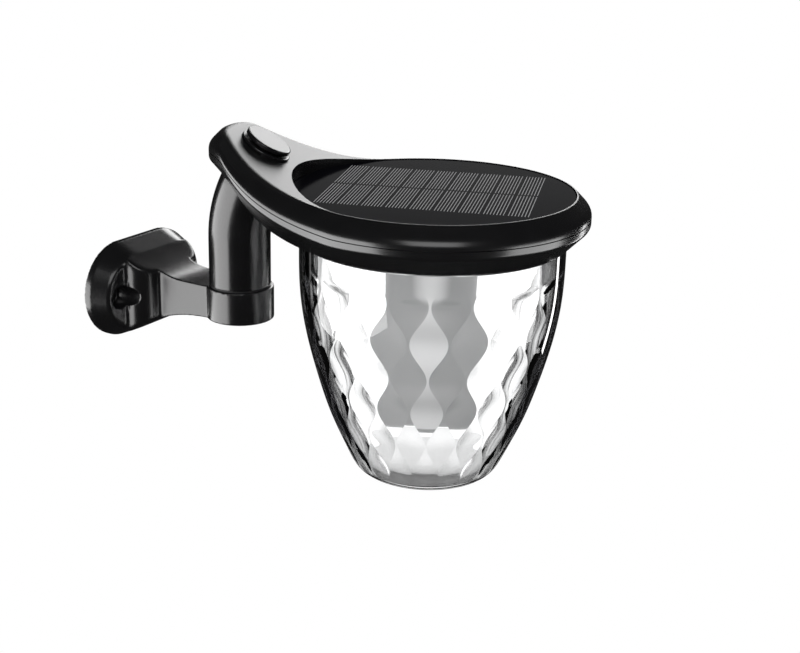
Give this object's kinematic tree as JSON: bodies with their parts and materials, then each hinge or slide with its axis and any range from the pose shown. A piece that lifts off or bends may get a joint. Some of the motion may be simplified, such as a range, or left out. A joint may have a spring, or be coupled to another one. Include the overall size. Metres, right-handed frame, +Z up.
{
  "type": "solar wall light",
  "caption": "Solar wall or fence light: bracket, swivelling head with a round solar panel and push button, clear cut shade with a light tube.",
  "frame": {"origin": "centre of the wall bracket's back face", "axes": "+Y into the wall, +Z up; the head stands out towards -Y and rests turned 20 degrees from straight ahead"},
  "size_m": [0.1096, 0.1706, 0.1237],
  "materials": {
    "bracket_plastic": "satin",
    "post_plastic": "satin",
    "lid_plastic": "satin",
    "button_plastic": "gloss",
    "washer_nylon": "matte",
    "fastener_steel": "satin",
    "seal_rubber": "matte",
    "foam_tape": "matte",
    "solar_laminate": "gloss",
    "board_laminate": "satin",
    "component_black": "matte",
    "component_white": "matte",
    "battery_sleeve": "gloss",
    "contact_nickel": "polished",
    "lamp_board": "satin",
    "lamp_phosphor": "gloss",
    "tube_frosted": "frosted",
    "reflector_white": "satin",
    "shade_clear": "clear"
  },
  "bodies": {
    "bracket": {"wall_bracket": "bracket_plastic"},
    "head": {"post_tube": "post_plastic", "friction_washer": "washer_nylon", "swivel_washer": "fastener_steel", "swivel_screw": "fastener_steel", "post_screws": "fastener_steel", "lower_shell": "lid_plastic", "upper_shell": "lid_plastic", "shell_gasket": "seal_rubber", "shell_screws": "fastener_steel", "solar_panel": "solar_laminate", "panel_tape": "foam_tape", "circuit_board": "board_laminate", "board_components": "component_black", "board_screws": "fastener_steel", "battery": "battery_sleeve", "battery_cradle": "component_white", "battery_contacts": "contact_nickel", "led_board": "lamp_board", "led_chips": "lamp_phosphor", "lamp_tube": "tube_frosted", "lamp_screws": "fastener_steel", "lamp_plate": "reflector_white", "shade": "shade_clear", "shade_gasket": "seal_rubber", "button_bezel": "button_plastic", "bezel_seal": "seal_rubber", "switch_body": "component_black", "switch_board": "board_laminate"},
    "button": {"power_button": "button_plastic", "switch_plunger": "component_white"}
  },
  "joints": [
    {"name": "head_swivel", "type": "hinge", "parent": "bracket", "child": "head", "pos_m": [0, -0.0495, 0], "axis": [0, 0, 1], "range_deg": [-95, 55]},
    {"name": "button_press", "type": "slide", "parent": "head", "child": "button", "axis": [-0.171, 0.4698, -0.866], "range_m": [0, 0.0008], "stiffness_N_per_m": 600, "springref_m": -0.0015}
  ]
}
